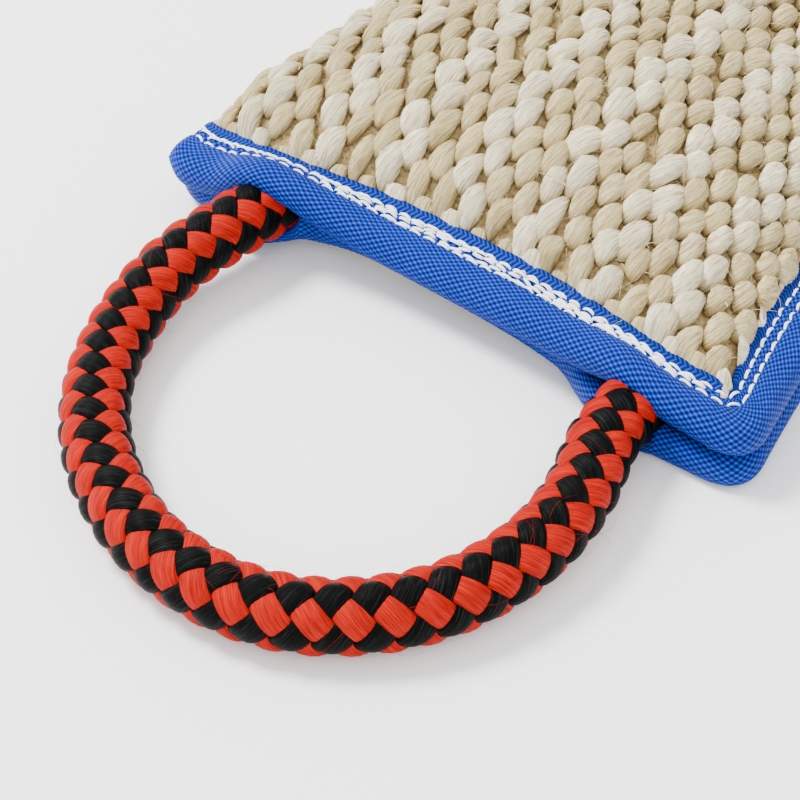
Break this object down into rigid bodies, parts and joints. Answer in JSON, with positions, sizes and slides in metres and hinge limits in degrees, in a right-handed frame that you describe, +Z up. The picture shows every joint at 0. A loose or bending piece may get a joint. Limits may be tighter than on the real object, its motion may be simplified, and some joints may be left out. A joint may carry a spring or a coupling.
{
  "type": "dog training bumper",
  "caption": "Padded jute bite pad with blue bound edges and a red and black braided rope loop at one end.",
  "frame": {"origin": "centre of the pad's underside, leaving the rope handle out", "axes": "+X along the pad away from the handle, +Y towards the folded long side, +Z up out of the surface the pad lies on"},
  "size_m": [0.4096, 0.18, 0.0484],
  "materials": {
    "jute": "coarse warp-faced jute weave, cream and tan yarns",
    "canvas": "plain cotton canvas",
    "foam": "soft open-cell foam",
    "felt": "needled felt wadding",
    "blue_webbing": "bright blue woven nylon tape",
    "white_thread": "thick white polyester thread",
    "rope_braid": "red and black diamond braid, glossy filament yarn",
    "rope_yarn": "parallel filler yarns",
    "black_webbing": "black woven webbing"
  },
  "bodies": {
    "pad": {"jute_cover": "jute", "canvas_liner": "canvas", "foam_core": "foam", "felt_layer_upper": "felt", "felt_layer_lower": "felt", "upper_edge_binding": "blue_webbing", "lower_edge_binding": "blue_webbing", "stitch_row_inner_upper": "white_thread", "stitch_row_outer_upper": "white_thread", "stitch_row_inner_lower": "white_thread", "stitch_row_outer_lower": "white_thread", "reinforcing_stitches": "white_thread", "rope_tail_left": "rope_braid", "rope_tail_right": "rope_braid", "tail_whipping_left": "white_thread", "tail_whipping_right": "white_thread", "anchor_strap": "black_webbing"},
    "handle": {"rope_loop_sheath": "rope_braid", "rope_loop_core": "rope_yarn"}
  },
  "joints": [
    {"name": "handle_swing", "type": "hinge", "parent": "pad", "child": "handle", "pos_m": [-0.1585, 0, 0.015], "axis": [0, 1, 0], "range_deg": [-60, 80]}
  ]
}
